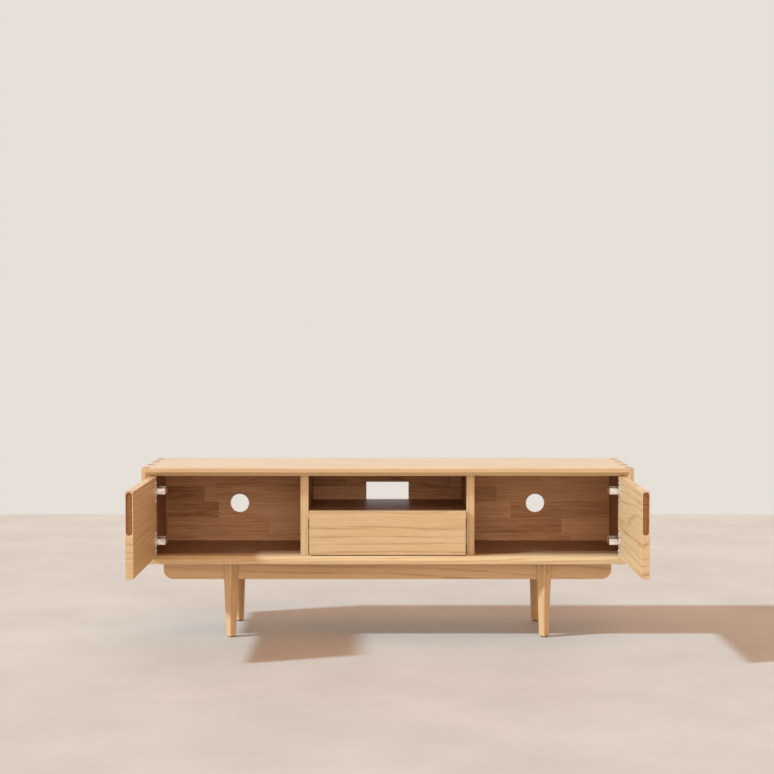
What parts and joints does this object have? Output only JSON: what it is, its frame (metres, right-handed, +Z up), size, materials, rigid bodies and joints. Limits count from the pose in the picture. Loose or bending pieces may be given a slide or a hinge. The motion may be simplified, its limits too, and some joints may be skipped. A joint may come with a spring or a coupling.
{
  "type": "tv stand",
  "caption": "Low oak media stand with inset side doors on concealed hinges, an open niche with a cable cut-out, a drawer below it and tapered legs.",
  "frame": {"origin": "on the floor, at the middle of the stand's width, midway between the open doors' free edges and the back face; the carcass front stands 37.5 mm behind it", "axes": "+X to the right as seen from the front, +Y from the front to the back, +Z up"},
  "size_m": [1.5, 0.875, 0.525],
  "materials": {
    "oak_carcass": "matt oiled solid oak, edge-glued staves, grain along the width",
    "oak_front": "matt oiled solid oak, grain along the doors and the drawer front",
    "oak_base": "matt oiled solid oak, grain along each leg and rail",
    "oak_back": "matt oiled edge-glued oak staves, grain along the width",
    "oak_drawer": "plain sanded wood of the drawer box",
    "beech_dowel": "plain fluted dowel",
    "nickel_steel": "bright nickel-plated pressed steel",
    "zinc_steel": "zinc-plated slide channel",
    "zinc_screw": "zinc-plated screw",
    "dark_felt": "dark felt-faced pad"
  },
  "bodies": {
    "carcass": {"top_panel": "oak_carcass", "bottom_panel": "oak_carcass", "side_panel_left": "oak_carcass", "side_panel_right": "oak_carcass", "divider_left": "oak_carcass", "divider_right": "oak_carcass", "back_panel": "oak_back", "shelf_board": "oak_carcass", "shelf_end_left": "oak_carcass", "shelf_end_right": "oak_carcass", "divider_dowels": "beech_dowel", "shelf_dowels": "beech_dowel", "back_panel_screws": "zinc_screw", "front_apron": "oak_base", "back_apron": "oak_base", "cross_rail_left": "oak_base", "cross_rail_right": "oak_base", "leg_front_left": "oak_base", "leg_front_right": "oak_base", "leg_back_left": "oak_base", "leg_back_right": "oak_base", "foot_glides": "dark_felt", "leg_screws": "zinc_screw", "frame_screws": "zinc_screw", "hinge_arms_left": "nickel_steel", "hinge_arms_right": "nickel_steel", "hinge_plates_left": "nickel_steel", "hinge_plates_right": "nickel_steel", "plate_screws_left": "zinc_screw", "plate_screws_right": "zinc_screw", "slide_outer_left": "zinc_steel", "slide_outer_right": "zinc_steel", "slide_screws_outer": "zinc_screw"},
    "door_left": {"door_left": "oak_front", "hinge_cups_left": "nickel_steel", "cup_screws_left": "zinc_screw"},
    "door_right": {"door_right": "oak_front", "hinge_cups_right": "nickel_steel", "cup_screws_right": "zinc_screw"},
    "hinge_links_left": {"hinge_links_left": "nickel_steel"},
    "hinge_links_right": {"hinge_links_right": "nickel_steel"},
    "drawer": {"drawer_front": "oak_front", "drawer_side_left": "oak_drawer", "drawer_side_right": "oak_drawer", "drawer_back": "oak_drawer", "drawer_bottom": "oak_drawer", "drawer_front_dowels": "beech_dowel", "slide_inner_left": "zinc_steel", "slide_inner_right": "zinc_steel", "slide_screws_inner": "zinc_screw"},
    "slide_middle_left": {"slide_middle_left": "zinc_steel"},
    "slide_middle_right": {"slide_middle_right": "zinc_steel"}
  },
  "joints": [
    {"name": "door_left_hinge", "type": "hinge", "parent": "carcass", "child": "door_left", "pos_m": [-0.72725, 0.04775, 0.3785], "axis": [0, 0, 1], "range_deg": [-5, 90]},
    {"name": "door_right_hinge", "type": "hinge", "parent": "carcass", "child": "door_right", "pos_m": [0.72725, 0.04775, 0.3785], "axis": [0, 0, -1], "range_deg": [-5, 90]},
    {"name": "hinge_link_left_pivot", "type": "hinge", "parent": "door_left", "child": "hinge_links_left", "pos_m": [-0.7085, 0.0225, 0.3785], "axis": [0, 0, 1], "range_deg": [-90, 5]},
    {"name": "hinge_link_right_pivot", "type": "hinge", "parent": "door_right", "child": "hinge_links_right", "pos_m": [0.7085, 0.0225, 0.3785], "axis": [0, 0, -1], "range_deg": [-90, 5]},
    {"name": "drawer_slide", "type": "slide", "parent": "carcass", "child": "drawer", "axis": [0, -1, 0], "range_m": [0, 0.28]},
    {"name": "slide_middle_left_run", "type": "slide", "parent": "carcass", "child": "slide_middle_left", "axis": [0, -1, 0], "range_m": [0, 0.14]},
    {"name": "slide_middle_right_run", "type": "slide", "parent": "carcass", "child": "slide_middle_right", "axis": [0, -1, 0], "range_m": [0, 0.14]}
  ],
  "couplings": [
    {"joint": "hinge_link_left_pivot", "follows": "door_left_hinge", "ratio": -1},
    {"joint": "hinge_link_right_pivot", "follows": "door_right_hinge", "ratio": -1},
    {"joint": "slide_middle_left_run", "follows": "drawer_slide", "ratio": 0.5},
    {"joint": "slide_middle_right_run", "follows": "drawer_slide", "ratio": 0.5}
  ]
}
